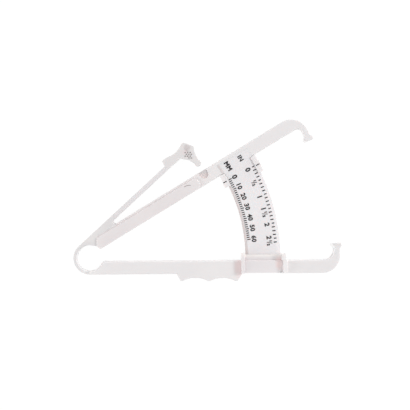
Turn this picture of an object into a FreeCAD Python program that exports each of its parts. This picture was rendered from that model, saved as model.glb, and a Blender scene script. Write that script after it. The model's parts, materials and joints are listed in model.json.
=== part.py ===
"""Skinfold caliper, moulded in plastic, lying on its back with its jaws open.

+X runs along the lower arm from the spring loop to the jaw, +Y goes from the lower arm
to the upper one, and +Z is the thickness, with the back of both arms at Z = 0.
All that moves turns about lines along Z. The jaw's hinge line lies inside the spring
loop, beside its wall, and every sketch measures from it. The upper parts are drawn as
they stand with the jaws closed, and their bodies are then turned open about that line.
"""
import FreeCAD, Part
import Sketcher
import os
import re

SIZES = [
    # thickness, along Z
    ("body_thick", 8.0, "lower arm and its jaw"),
    ("blade_thick", 6.0, "upper arm and its jaw, without the raised panel"),
    ("flexure_wide", 5.5, "spring loop, root block, leaf and thumb head"),
    ("edge_round", 0.8, "rounding of the arms' long edges, in front"),
    ("back_bevel", 0.5, "bevel of the long edges at the back"),
    ("slim_round", 0.5, "rounding of the long edges of the leaf, root and head, in front"),
    ("loop_bevel", 0.4, "bevel of the loop's long edges"),
    # spring loop
    ("loop_radius", 10.1, "outside of the loop"),
    ("loop_wall", 2.1, "wall of the loop"),
    ("loop_ahead", 5.3, "centre of the loop, ahead of the hinge line"),
    ("open_angle", 23.8, "turn of the upper arm from closed to open"),
    # lower arm
    ("arm_drop", 1.7, "top edge of the lower arm, below the hinge line"),
    ("arm_tall", 8.1, "depth of the lower arm"),
    ("nose_angle", 25.0, "where the arm leaves the loop's inside, below level"),
    ("nose_ahead", 1.3, "slope of the arm's nose, along X"),
    ("grip_start", 59.2, "left end of the finger grip"),
    ("grip_pitch", 17.0, "from one peak of the grip to the next"),
    ("grip_peak", 4.3, "height of the grip's peaks below the arm"),
    ("grip_fall", 0.2, "drop of each peak below the one before it"),
    ("grip_hollow", 1.9, "depth of the finger hollows between the peaks"),
    ("grip_lead", 2.2, "ramp at the left end of the grip"),
    ("grip_tail", 2.8, "ramp at the right end of the grip"),
    ("peak_wide", 1.6, "flat on each peak of the grip"),
    # jaws
    ("jaw_reach", 160.5, "outer side of the lower jaw's neck, from the hinge line"),
    ("upper_ahead", 0.7, "upper jaw's neck beyond the lower one's, closed"),
    ("neck_thick", 3.5, "thickness of the jaws' necks"),
    ("face_height", 8.5, "height of the pad faces above the hinge line, closed"),
    ("face_gap", 0.2, "gap left between the pad faces, closed"),
    ("pad_tall", 3.3, "height of the jaw pads"),
    ("pad_waist", 2.0, "height over which a pad widens from its neck"),
    ("lower_inner_lip", 1.7, "lower pad beyond the inner side of its neck"),
    ("lower_outer_lip", 1.2, "lower pad beyond the outer side of its neck"),
    ("upper_inner_lip", 1.6, "upper pad beyond the inner side of its neck"),
    ("upper_outer_lip", 1.4, "upper pad beyond the outer side of its neck"),
    ("pad_corner", 0.5, "taper of the pad towards its face"),
    ("lower_heel", 11.0, "outside radius below the lower jaw"),
    ("lower_throat", 6.0, "inside radius of the lower jaw"),
    ("upper_heel", 11.5, "outside radius above the upper jaw"),
    ("upper_throat", 3.0, "inside radius of the upper jaw"),
    # upper arm
    ("blade_slope", 7.25, "slope of the upper arm, closed"),
    ("blade_drop", 1.1, "lower edge of the upper arm, below its line through the hinge"),
    ("blade_tall", 8.45, "depth of the upper arm"),
    ("blade_start", 12.4, "left end of the upper arm"),
    ("blade_chin", 2.7, "height of the slanted corner under its left end"),
    ("blade_cheek", 2.5, "slope of its left end, along the arm"),
    ("panel_proud", 0.7, "height of the raised panel above the upper arm's face"),
    ("panel_round", 0.4, "rounding of the panel's edges"),
    ("panel_end", 84.9, "where the raised panel starts to round off"),
    ("panel_bulge", 2.6, "bulge of the panel's rounded end"),
    ("panel_inset", 1.4, "step along the upper edge of the panel"),
    # scale plate
    ("scale_inner", 102.0, "inner radius of the scale plate"),
    ("scale_outer", 123.8, "outer radius of the scale plate"),
    ("scale_thick", 2.0, "thickness of the scale plate"),
    ("inner_bevel", 1.8, "width of the bevel along its inner edge"),
    ("outer_bevel", 2.6, "width of the bevel along its outer edge"),
    ("bevel_deep", 0.6, "depth of both bevels"),
    ("tail_angle", 26.8, "angle of its free end below the hinge line, closed"),
    ("inlay_deep", 6.2, "reach of its root into the face of the upper arm"),
    # index rider
    ("rider_left", 99.5, "left side of the rider"),
    ("rider_right", 125.7, "right side of the rider"),
    ("shoulder_high", 10.5, "shoulder in its right side, above the hinge line"),
    ("shoulder_deep", 0.7, "depth of that shoulder"),
    ("rider_stop", 0.3, "gap between the rider and what stops it"),
    ("rider_back", 1.3, "thickness of the rider behind the plate"),
    ("rider_proud", 0.6, "height of its tabs above the face of the plate"),
    ("rider_grip", 1.5, "reach of its lips over the edges of the plate"),
    ("rider_round", 0.25, "rounding of the edges of its tabs"),
    ("slide_gap", 0.08, "running gap between the rider and the plate"),
    # guide cover
    ("guide_gap", 0.3, "running gap between the plate and its passage"),
    ("cover_skin", 0.6, "cover's flange on the face of the lower arm"),
    ("cover_inset", 0.3, "cover's lower edge above the arm's"),
    ("cover_round", 0.5, "rounding of the cover's upper edge"),
    ("lip_tall", 3.6, "cover's lip above the arm's top edge"),
    ("lip_thick", 1.2, "thickness of the lip"),
    ("left_ear_top", 3.0, "height of the left ear above the hinge line"),
    ("right_ear_top", 2.6, "height of the right ear above the hinge line"),
    ("ear_proud", 2.4, "height of the ears above the arm's face"),
    ("ear_round", 0.4, "rounding of the edges of the ears"),
    ("left_ear", 99.2, "left side of the left ear, above the arm"),
    ("left_ear_wide", 2.4, "width of the left ear, above the arm"),
    ("left_leg", 99.2, "left side of the left ear's leg, on the arm"),
    ("left_leg_wide", 2.3, "width of the left ear's leg"),
    ("right_ear", 124.1, "left side of the right ear, above the arm"),
    ("right_ear_wide", 2.8, "width of the right ear, above the arm"),
    ("right_leg", 125.0, "left side of the right ear's leg, on the arm"),
    ("right_leg_wide", 2.8, "width of the right ear's leg"),
    ("relief_left", 123.3, "left side of the relief in the cover's lower edge"),
    ("relief_wide", 1.8, "width of the relief"),
    ("relief_tall", 1.1, "height of the relief"),
    # spring leaf and thumb head
    ("lever_slope", 18.6, "slope of the spring leaf, closed"),
    ("leaf_thick", 2.8, "thickness of the spring leaf"),
    ("leaf_long", 45.7, "length of the leaf"),
    ("crotch_round", 1.35, "rounding between the leaf's root and the upper arm"),
    ("press_angle", 7.3, "turn of the lever to its stop"),
    ("head_heel", 3.8, "thumb head's back corner above the leaf"),
    ("heel_ahead", 1.0, "back corner beyond the leaf's end"),
    ("dish_start", 5.1, "start of the thumb's dish beyond the leaf's end"),
    ("dish_end", 16.6, "end of the thumb's dish beyond the leaf's end"),
    ("dish_rim", 3.15, "rim of the dish above the leaf"),
    ("dish_deep", 1.3, "depth of the thumb's dish"),
    ("ridge_wide", 2.1, "thumb head's ridge beyond the dish"),
    ("front_ahead", 21.8, "front corner beyond the leaf's end"),
    ("front_below", 3.0, "front corner below the leaf's outer side"),
    ("leg_back", 10.6, "back of the head's leg beyond the leaf's end"),
    ("leg_below", 7.0, "start of the thinner leg below the leaf's outer side"),
    ("leg_wide", 6.0, "width of the leg at that start"),
    ("leg_lean", 2.9, "lean of the leg's back side down to there"),
    ("nib_radius", 2.15, "radius of the nib"),
    ("nib_flank", 35.0, "where the leg meets the nib, above level"),
    ("nib_ahead", 16.5, "nib beyond the leaf's end"),
    ("nib_below", 12.45, "nib below the leaf's outer side"),
    ("notch_gap", 0.5, "gap round the nib in its notch"),
    ("notch_flare", 0.6, "widening of the notch to its mouth"),
    ("notch_floor", 3.4, "floor left behind the notch"),
    ("floor_gap", 0.4, "gap between the nib and the floor of the notch"),
]

CUT_OVER = "1"       # how far a cutting sketch runs past what it cuts
NEAR = 1e-6          # two heights closer than this are the same

# heights and places that follow from the sizes, as text for the expressions
ARM_TOP = "(-arm_drop)"
ARM_BOTTOM = "(-arm_drop - arm_tall)"
LOOP_UP = "(loop_radius - arm_drop - arm_tall)"
LOOP_INNER = "(loop_radius - loop_wall)"
NECK_INNER = "(jaw_reach - neck_thick)"
UPPER_REACH = "(jaw_reach + upper_ahead)"
UPPER_INNER = f"({UPPER_REACH} - neck_thick)"
BLADE_LOW = "(-blade_drop)"
BLADE_HIGH = "(blade_tall - blade_drop)"
INLAY_HIGH = "(inlay_deep - blade_drop)"
REST_SLOPE = "(lever_slope + open_angle)"
LEAF_OUTER = f"(loop_radius - loop_ahead*sin({REST_SLOPE}) + {LOOP_UP}*cos({REST_SLOPE}))"
LEAF_INNER = f"({LEAF_OUTER} - leaf_thick)"
LEAF_MIDDLE = f"({LEAF_OUTER} - leaf_thick/2)"
FORK = "(lever_slope - blade_slope)"
CROTCH_UP = f"({BLADE_HIGH} + crotch_round)"
CROTCH_ALONG = f"(({CROTCH_UP}*cos({FORK}) - {LEAF_INNER} + crotch_round)/sin({FORK}))"
LEAF_START = f"({CROTCH_ALONG}*cos({FORK}) + {CROTCH_UP}*sin({FORK}))"
LEAF_END = f"({LEAF_START} + leaf_long)"
PANEL_FACE = "(blade_thick + panel_proud)"
FLEXURE_BACK = "(blade_thick - flexure_wide)"
PLATE_BACK = "(blade_thick - scale_thick)"
RIDER_LOW = "(left_ear_top + rider_stop)"
RIDER_FACE = "(blade_thick + rider_proud)"
COVER_BACK = "(blade_thick + guide_gap)"
COVER_FACE = "(body_thick + cover_skin)"


def turned(x, y, angle):
    """The point (x, y) turned about the hinge line, as two expressions."""
    return (
        f"(({x})*cos({angle}) - ({y})*sin({angle}))",
        f"(({x})*sin({angle}) + ({y})*cos({angle}))",
    )


def on_blade(along, across):
    """A point given along and across the closed upper arm."""
    return turned(along, across, "blade_slope")


def on_lever(along, across):
    """A point given along and across the spring leaf's line, jaws closed."""
    return turned(along, across, "lever_slope")


def moved(point, along, across, angle):
    """The point shifted by a step that is given in a frame turned by an angle."""
    step = turned(along, across, angle)
    return (f"({point[0]} + {step[0]})", f"({point[1]} + {step[1]})")


def heel_centre():
    """Centre of the round that joins the upper arm's top edge to its jaw."""
    x = f"({UPPER_REACH} - upper_heel)"
    y = f"(({BLADE_HIGH} - upper_heel + {x}*sin(blade_slope))/cos(blade_slope))"
    return (x, y)


def throat_centre():
    """Centre of the round between the upper arm's lower edge and its jaw."""
    x = f"({UPPER_INNER} - upper_throat)"
    y = f"(({BLADE_LOW} - upper_throat + {x}*sin(blade_slope))/cos(blade_slope))"
    return (x, y)


def seated_nib():
    """The nib's centre in its notch: turned about the leaf's root by the press."""
    reach = f"({LEAF_END} + nib_ahead - {LEAF_START})"
    drop = f"({LEAF_OUTER} - nib_below - {LEAF_MIDDLE})"
    swing = turned(reach, drop, "(-press_angle)")
    return on_lever(f"({LEAF_START} + {swing[0]})", f"({LEAF_MIDDLE} + {swing[1]})")


def frame_origin():
    """The middle of the part's outline, seen from the front, from the hinge line."""
    heel = turned(*heel_centre(), "open_angle")
    left = "(loop_ahead - loop_radius)"
    right = "(jaw_reach + lower_outer_lip)"
    low = f"({ARM_BOTTOM} - grip_peak - 2*grip_fall)"
    high = f"({heel[1]} + upper_heel)"
    return (f"(({left} + {right})/2)", f"(({low} + {high})/2)")


class Caliper:
    """The document, its sheet of sizes and the few moves that every piece is made by."""

    def __init__(self):
        self.doc = FreeCAD.newDocument("SkinfoldCaliper")
        self.sheet = self.doc.addObject("Spreadsheet::Sheet", "Sizes")
        for row, (name, size, note) in enumerate(SIZES, start=1):
            self.sheet.set(f"A{row}", name)
            self.sheet.set(f"B{row}", str(size))
            self.sheet.set(f"C{row}", note)
            self.sheet.setAlias(f"B{row}", name)
        self.doc.recompute()
        words = "|".join(name for name, _, _ in SIZES)
        self.words = re.compile(rf"\b({words})\b")
        self.pieces = []

    def full(self, text):
        """The expression with each size named as a cell of the sheet."""
        return self.words.sub(r"Sizes.\1", text)

    def value(self, text):
        return float(self.sheet.evalExpression(text))

    def bind(self, thing, prop, text):
        thing.setExpression(prop, self.full(text))

    def piece(self, label, turn="0"):
        """A body named as its node, drawn from the hinge line and turned about it."""
        body = self.doc.addObject("PartDesign::Body", label)
        body.Label = label
        x, y = frame_origin()
        spin = f"rotation(vector(0; 0; 1); {turn})"
        self.bind(body, "Placement", f"placement(vector(-{x}; -{y}; 0); {spin})")
        self.pieces.append(body)
        return body

    def sketch(self, body, name, path, height):
        """A closed outline on a plane at a height. Each corner is tied to the sizes.

        The path is a list of corners (x, y), or (x, y, radius, turn) where the way to
        the next corner is an arc that turns left (+1) or right (-1).
        """
        sketch = body.newObject("Sketcher::SketchObject", name)
        floor = next(f for f in body.Origin.OriginFeatures if f.Role == "XY_Plane")
        sketch.AttachmentSupport = [(floor, "")]
        sketch.MapMode = "FlatFace"
        self.bind(sketch, "AttachmentOffset.Base.z", height)
        spots = [FreeCAD.Vector(self.value(c[0]), self.value(c[1]), 0) for c in path]
        starts = []
        ends = []
        for number, corner in enumerate(path):
            start = spots[number]
            end = spots[(number + 1) % len(path)]
            if len(corner) == 2:
                edge = sketch.addGeometry(Part.LineSegment(start, end))
                starts.append((edge, 1))
                ends.append((edge, 2))
                continue
            radius, turn = corner[2], corner[3]
            edge = sketch.addGeometry(arc(start, end, self.value(radius), turn))
            starts.append((edge, 1 if turn > 0 else 2))
            ends.append((edge, 2 if turn > 0 else 1))
            tie = sketch.addConstraint(Sketcher.Constraint("Radius", edge, self.value(radius)))
            self.bind(sketch, f"Constraints[{tie}]", radius)
        for number, corner in enumerate(path):
            edge, end = starts[number]
            before, before_end = ends[number - 1]
            sketch.addConstraint(Sketcher.Constraint("Coincident", before, before_end, edge, end))
            for kind, text, seed in (
                ("DistanceX", corner[0], spots[number].x),
                ("DistanceY", corner[1], spots[number].y),
            ):
                tie = sketch.addConstraint(Sketcher.Constraint(kind, -1, 1, edge, end, seed))
                self.bind(sketch, f"Constraints[{tie}]", text)
        return sketch

    def pad(self, body, name, path, low, high):
        """Material inside the outline, from one height to another."""
        pad = body.newObject("PartDesign::Pad", name)
        pad.Profile = self.sketch(body, name + "Outline", path, low)
        self.bind(pad, "Length", f"({high}) - ({low})")
        body.Tip = pad
        self.doc.recompute()
        return pad

    def pocket(self, body, name, path, low, high):
        """The outline cut out of the body, from one height up to another."""
        before = body.Tip.Shape.Volume
        pocket = body.newObject("PartDesign::Pocket", name)
        pocket.Profile = self.sketch(body, name + "Outline", path, low)
        pocket.Reversed = True
        self.bind(pocket, "Length", f"({high}) - ({low})")
        body.Tip = pocket
        self.doc.recompute()
        if not pocket.Shape.Volume < before:
            raise RuntimeError(f"{name} cuts nothing from {body.Label}")
        return pocket

    def on_edges(self, body, kind, name, wanted, **ties):
        """A fillet or chamfer on the body's edges for which wanted(edge) is true."""
        base = body.Tip
        edges = [
            f"Edge{number}"
            for number, edge in enumerate(base.Shape.Edges, start=1)
            if wanted(edge)
        ]
        feature = body.newObject(f"PartDesign::{kind}", name)
        feature.Base = (base, edges)
        for prop, text in ties.items():
            self.bind(feature, prop, text)
        body.Tip = feature
        self.doc.recompute()
        return feature

    def fillet(self, body, name, radius, wanted):
        """Rounds the edges of the body so far for which wanted(edge) is true."""
        return self.on_edges(body, "Fillet", name, wanted, Radius=radius)

    def bevel(self, body, name, first, second, wanted):
        """Slopes an edge off, by one size on each of the two faces that meet there."""
        bevel = self.on_edges(body, "Chamfer", name, wanted, Size=first, Size2=second)
        bevel.ChamferType = "Two distances"
        self.doc.recompute()
        return bevel

    def rim(self, *heights):
        """A test for edges that lie flat at one of the heights."""
        levels = [self.value(height) for height in heights]

        def lies_there(edge):
            box = edge.BoundBox
            return box.ZLength < NEAR and any(abs(box.ZMin - level) < NEAR for level in levels)

        return lies_there

    def between(self, start, end):
        """A test for edges that run from one point to the other, seen from the front."""
        ends = {(round(self.value(x), 4), round(self.value(y), 4)) for x, y in (start, end)}

        def runs_there(edge):
            return {(round(v.X, 4), round(v.Y, 4)) for v in edge.Vertexes} == ends

        return runs_there


def curved(edge):
    return hasattr(edge.Curve, "Radius")


def on_circle(edge, radius):
    return curved(edge) and abs(edge.Curve.Radius - radius) < NEAR


def arc(start, end, radius, turn):
    """The shorter arc of a radius from start to end, turning left or right."""
    half = (end - start) * 0.5
    rise = max(radius * radius - half.Length * half.Length, 0.0) ** 0.5
    left = FreeCAD.Vector(-half.y, half.x, 0).normalize()
    centre = start + half + left * rise * turn
    bulge = centre - left * radius * turn
    return Part.Arc(start, bulge, end)


def band(inner, outer, low, high):
    """The strip between two circles about the hinge line, from low to high in Y."""
    return [
        (f"sqrt(({inner})^2 - ({low})^2)", low),
        (f"sqrt(({outer})^2 - ({low})^2)", low, outer, 1),
        (f"sqrt(({outer})^2 - ({high})^2)", high),
        (f"sqrt(({inner})^2 - ({high})^2)", high, inner, -1),
    ]


def box(left, right, low, high):
    return [(left, low), (right, low), (right, high), (left, high)]


def pad_corners(jaw, neck, face, side):
    """A jaw pad's outline from its neck's inner side round to its outer side.

    neck holds the inner and the outer side of the neck. side is +1 for the lower jaw,
    whose face looks up, and -1 for the upper one.
    """
    inner, outer = neck
    root = f"({face} - ({side})*pad_tall)"
    tip = f"({face} - ({side})*(pad_tall - pad_waist))"
    return [
        (inner, root),
        (f"{inner} - {jaw}_inner_lip", tip),
        (f"{inner} - {jaw}_inner_lip + pad_corner", face),
        (f"{outer} + {jaw}_outer_lip - pad_corner", face),
        (f"{outer} + {jaw}_outer_lip", tip),
        (outer, root),
    ]


def grip_corners():
    """Three peaks below the arm with a finger hollow between each two."""
    chord = "(grip_pitch - peak_wide)"
    hollow = f"((({chord}/2)^2 + grip_hollow^2)/(2*grip_hollow))"
    corners = [("grip_start", ARM_BOTTOM)]
    for number in range(3):
        left = f"grip_start + grip_lead + {number}*grip_pitch"
        low = f"({ARM_BOTTOM} - grip_peak - {number}*grip_fall)"
        corners.append((left, low))
        if number < 2:
            corners.append((f"{left} + peak_wide", low, hollow, -1))
        else:
            corners.append((f"{left} + peak_wide", low))
            corners.append((f"{left} + peak_wide + grip_tail", ARM_BOTTOM))
    return corners


def lower_arm(caliper):
    """Straight arm with a scalloped grip below it and a jaw hooked up at its end."""
    body = caliper.piece("lower_arm")
    jaw = list(reversed(pad_corners("lower", (NECK_INNER, "jaw_reach"), "face_height", 1)))
    nose = (
        f"loop_ahead + {LOOP_INNER}*cos(nose_angle)",
        f"{LOOP_UP} - {LOOP_INNER}*sin(nose_angle)",
        LOOP_INNER,
        -1,
    )
    outline = [("loop_ahead", ARM_BOTTOM)] + grip_corners() + [
        ("jaw_reach - lower_heel", ARM_BOTTOM, "lower_heel", 1),
        ("jaw_reach", f"{ARM_BOTTOM} + lower_heel"),
    ] + jaw + [
        (NECK_INNER, f"{ARM_TOP} + lower_throat", "lower_throat", -1),
        (f"{NECK_INNER} - lower_throat", ARM_TOP),
        (f"{nose[0]} + nose_ahead", ARM_TOP),
        nose,
        ("loop_ahead", f"{LOOP_UP} - {LOOP_INNER}"),
    ]
    caliper.pad(body, "ArmBar", outline, "0", "body_thick")
    caliper.fillet(body, "ArmEdges", "edge_round", caliper.rim("body_thick"))
    caliper.bevel(body, "ArmBack", "back_bevel", "back_bevel", caliper.rim("0"))
    passage = band(
        "scale_inner - guide_gap",
        "scale_outer + guide_gap",
        f"{ARM_BOTTOM} - {CUT_OVER}",
        f"{ARM_TOP} + {CUT_OVER}",
    )
    caliper.pocket(body, "ScalePassage", passage, f"{PLATE_BACK} - guide_gap", "body_thick")
    return body


def scale_guide(caliper):
    """Cover that bridges the scale's passage, with an ear at each side of it."""
    body = caliper.piece("scale_guide")
    low = f"{ARM_BOTTOM} + cover_inset"
    bridge = band("scale_inner - guide_gap", "scale_outer + guide_gap", low, ARM_TOP)
    caliper.pad(body, "Bridge", bridge, COVER_BACK, COVER_FACE)
    flange = box("left_leg", "right_leg + right_leg_wide", low, ARM_TOP)
    caliper.pad(body, "Flange", flange, "body_thick", COVER_FACE)
    at_face = caliper.rim(COVER_FACE)
    brow = caliper.value(ARM_TOP)
    caliper.fillet(body, "CoverEdge", "cover_round",
                   lambda edge: at_face(edge) and abs(edge.BoundBox.YMin - brow) < NEAR)
    lip = box("left_ear + left_ear_wide", "right_ear", ARM_TOP, f"{ARM_TOP} + lip_tall")
    caliper.pad(body, "Lip", lip, COVER_BACK, f"{COVER_BACK} + lip_thick")
    face = "(body_thick + ear_proud)"
    for side in ("left", "right"):
        ear = f"{side}_ear"
        leg = f"{side}_leg"
        title = side.title()
        upper = box(ear, f"{ear} + {ear}_wide", ARM_TOP, ear + "_top")
        lower = box(leg, f"{leg} + {leg}_wide", low, ARM_TOP)
        caliper.pad(body, title + "Ear", upper, COVER_BACK, face)
        caliper.pad(body, title + "Leg", lower, "body_thick", face)
    caliper.fillet(body, "EarEdges", "ear_round", caliper.rim(face))
    relief = box("relief_left", "relief_left + relief_wide", f"{low} - {CUT_OVER}",
                 f"{low} + relief_tall")
    caliper.pocket(body, "Relief", relief, COVER_BACK, COVER_FACE)
    return body


def loop_spring(caliper):
    """The C-shaped wall that joins the two arms and springs them open."""
    body = caliper.piece("loop_spring")
    centre = ("loop_ahead", LOOP_UP)
    top_outer = moved(centre, "0", "loop_radius", REST_SLOPE)
    top_inner = moved(centre, "0", LOOP_INNER, REST_SLOPE)
    outline = [
        (*top_outer, "loop_radius", 1),
        ("loop_ahead", ARM_BOTTOM),
        ("loop_ahead", f"{LOOP_UP} - {LOOP_INNER}", LOOP_INNER, -1),
        top_inner,
    ]
    caliper.pad(body, "LoopWall", outline, FLEXURE_BACK, "blade_thick")
    rims = caliper.rim(FLEXURE_BACK, "blade_thick")
    caliper.bevel(body, "LoopEdges", "loop_bevel", "loop_bevel",
                  lambda edge: rims(edge) and curved(edge))
    return body


def blade_end():
    """The slanted left end of the upper arm, from its lower corner to its upper one."""
    return [
        on_blade("blade_start + blade_chin/3", BLADE_LOW),
        on_blade("blade_start", f"{BLADE_LOW} + blade_chin"),
        on_blade("blade_start + blade_cheek", f"{BLADE_HIGH} - panel_inset"),
    ]


def arm_root(caliper):
    """Block that joins the loop, the leaf's root and the upper arm's left end."""
    body = caliper.piece("arm_root", "open_angle")
    centre = turned("loop_ahead", LOOP_UP, "(-open_angle)")
    top = turned("loop_ahead", f"{LOOP_UP} + {LOOP_INNER}", "(-open_angle)")
    chin, cheek = blade_end()[1:]
    brow = on_blade("blade_start + 2*blade_cheek", BLADE_HIGH)
    crotch = on_blade(CROTCH_ALONG, BLADE_HIGH)
    leaf = on_lever(LEAF_START, LEAF_OUTER)
    outline = [
        chin,
        cheek,
        brow,
        (*crotch, "crotch_round", -1),
        on_lever(LEAF_START, LEAF_INNER),
        leaf,
        moved(centre, "0", "loop_radius", "lever_slope"),
        (*moved(centre, "0", LOOP_INNER, "lever_slope"), LOOP_INNER, -1),
        top,
    ]
    caliper.pad(body, "RootBlock", outline, FLEXURE_BACK, "blade_thick")
    free = caliper.between(leaf, moved(centre, "0", "loop_radius", "lever_slope"))
    at_face = caliper.rim("blade_thick")
    caliper.fillet(body, "RootEdges", "slim_round",
                   lambda edge: at_face(edge) and (curved(edge) or free(edge)))
    at_back = caliper.rim(FLEXURE_BACK)
    caliper.bevel(body, "RootBack", "back_bevel", "back_bevel",
                  lambda edge: at_back(edge) and (curved(edge) or free(edge)))
    return body


def upper_arm(caliper):
    """Straight arm with a raised panel, a notch for the nib and a jaw hooked down."""
    body = caliper.piece("upper_arm", "open_angle")
    face = "(face_height + face_gap)"
    heel = heel_centre()
    throat = throat_centre()
    low_corner, chin, cheek = blade_end()
    brow = on_blade("blade_start + 2*blade_cheek", BLADE_HIGH)
    crotch = on_blade(CROTCH_ALONG, BLADE_HIGH)
    outline = [
        low_corner,
        (*moved(throat, "0", "upper_throat", "blade_slope"), "upper_throat", -1),
        (UPPER_INNER, throat[1]),
    ] + pad_corners("upper", (UPPER_INNER, UPPER_REACH), face, -1) + [
        (UPPER_REACH, heel[1], "upper_heel", 1),
        moved(heel, "0", "upper_heel", "blade_slope"),
        crotch,
        brow,
        cheek,
        chin,
    ]
    caliper.pad(body, "Blade", outline, "0", "blade_thick")
    at_face = caliper.rim("blade_thick")
    at_root = [caliper.between(*ends) for ends in ((crotch, brow), (brow, cheek), (cheek, chin))]
    caliper.fillet(body, "BladeEdges", "edge_round",
                   lambda edge: at_face(edge) and not any(test(edge) for test in at_root))
    caliper.bevel(body, "BladeBack", "back_bevel", "back_bevel", caliper.rim("0"))
    panel_tall = "(blade_tall - panel_inset)"
    bulge = f"((({panel_tall}/2)^2 + panel_bulge^2)/(2*panel_bulge))"
    panel = [
        low_corner,
        (*on_blade("panel_end", BLADE_LOW), bulge, 1),
        on_blade("panel_end", f"{BLADE_HIGH} - panel_inset"),
        cheek,
        chin,
    ]
    caliper.pad(body, "Panel", panel, "blade_thick - edge_round", PANEL_FACE)
    caliper.fillet(body, "PanelEdges", "panel_round", caliper.rim(PANEL_FACE))
    inlay = inlay_outline(f"{BLADE_LOW} - {CUT_OVER}", INLAY_HIGH)
    caliper.pocket(body, "InlaySeat", inlay, PLATE_BACK, "blade_thick")
    caliper.pocket(body, "NibNotch", notch_outline(), "notch_floor", "blade_thick")
    return body


def notch_outline():
    """Round-bottomed notch, open at the arm's top edge, about the seated nib."""
    nib = seated_nib()
    radius = "(nib_radius + notch_gap)"
    mouth = f"({radius} + notch_flare)"
    top = f"({BLADE_HIGH} + {CUT_OVER} - {turned(*nib, '(-blade_slope)')[1]})"
    return [
        (*moved(nib, f"-{radius}", "0", "blade_slope"), radius, 1),
        (*moved(nib, "0", f"-{radius}", "blade_slope"), radius, 1),
        moved(nib, radius, "0", "blade_slope"),
        moved(nib, mouth, top, "blade_slope"),
        moved(nib, f"-{mouth}", top, "blade_slope"),
    ]


def on_ring(radius, across):
    """Where a circle about the hinge line meets a line along the closed upper arm."""
    return on_blade(f"sqrt({radius}^2 - ({across})^2)", across)


def inlay_outline(low, high):
    """The scale plate's outline between two lines along the upper arm."""
    return [
        on_ring("scale_inner", low),
        (*on_ring("scale_outer", low), "scale_outer", 1),
        on_ring("scale_outer", high),
        (*on_ring("scale_inner", high), "scale_inner", -1),
    ]


def scale_arc(caliper):
    """Curved plate about the hinge line, bevelled each side and let into the upper arm."""
    body = caliper.piece("scale_arc", "open_angle")
    plate = [
        turned("scale_inner", "0", "(-tail_angle)"),
        (*turned("scale_outer", "0", "(-tail_angle)"), "scale_outer", 1),
        on_ring("scale_outer", BLADE_LOW),
        (*on_ring("scale_inner", BLADE_LOW), "scale_inner", -1),
    ]
    caliper.pad(body, "Plate", plate, PLATE_BACK, "blade_thick")
    at_face = caliper.rim("blade_thick")
    for name, rim, first, second in (
        ("InnerBevel", "scale_inner", "bevel_deep", "inner_bevel"),
        ("OuterBevel", "scale_outer", "outer_bevel", "bevel_deep"),
    ):
        radius = caliper.value(rim)
        caliper.bevel(body, name, first, second,
                      lambda edge: at_face(edge) and on_circle(edge, radius))
    caliper.pad(body, "Inlay", inlay_outline(BLADE_LOW, INLAY_HIGH), PLATE_BACK, "blade_thick")
    return body


def below_blade(x):
    """Where the rider ends, short of the upper arm's lower edge."""
    return f"(({x})*tan(blade_slope) + {BLADE_LOW}/cos(blade_slope) - rider_stop)"


def index_rider(caliper):
    """Clip that wraps the scale plate's two edges, with a tab in view at each side."""
    body = caliper.piece("index_rider", "open_angle")
    neck = "rider_right - shoulder_deep"
    high = below_blade(neck)
    block = [
        ("rider_left", RIDER_LOW),
        ("rider_right", RIDER_LOW),
        ("rider_right", "shoulder_high"),
        (neck, "shoulder_high"),
        (neck, high),
        ("rider_left", below_blade("rider_left")),
    ]
    back = f"({PLATE_BACK} - slide_gap - rider_back)"
    caliper.pad(body, "Clip", block, back, RIDER_FACE)
    low_cut = f"({RIDER_LOW} - {CUT_OVER})"
    high_cut = f"({high} + {CUT_OVER})"
    channel = band("scale_inner - slide_gap", "scale_outer + slide_gap", low_cut, high_cut)
    caliper.pocket(body, "Channel", channel, f"{PLATE_BACK} - slide_gap", "blade_thick + slide_gap")
    window = band("scale_inner + rider_grip", "scale_outer - rider_grip", low_cut, high_cut)
    caliper.pocket(body, "Window", window, "blade_thick", RIDER_FACE)
    caliper.fillet(body, "TabEdges", "rider_round", caliper.rim(RIDER_FACE))
    return body


def lever_leaf(caliper):
    """Thin leaf that carries the thumb head and bends when it is pressed."""
    body = caliper.piece("lever_leaf", "open_angle")
    outline = [
        on_lever(LEAF_START, LEAF_INNER),
        on_lever(LEAF_END, LEAF_INNER),
        on_lever(LEAF_END, LEAF_OUTER),
        on_lever(LEAF_START, LEAF_OUTER),
    ]
    caliper.pad(body, "Leaf", outline, FLEXURE_BACK, "blade_thick")
    rims = caliper.rim(FLEXURE_BACK, "blade_thick")
    long = caliper.value("leaf_long")
    caliper.fillet(body, "LeafEdges", "slim_round",
                   lambda edge: rims(edge) and abs(edge.Length - long) < NEAR)
    return body


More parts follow.
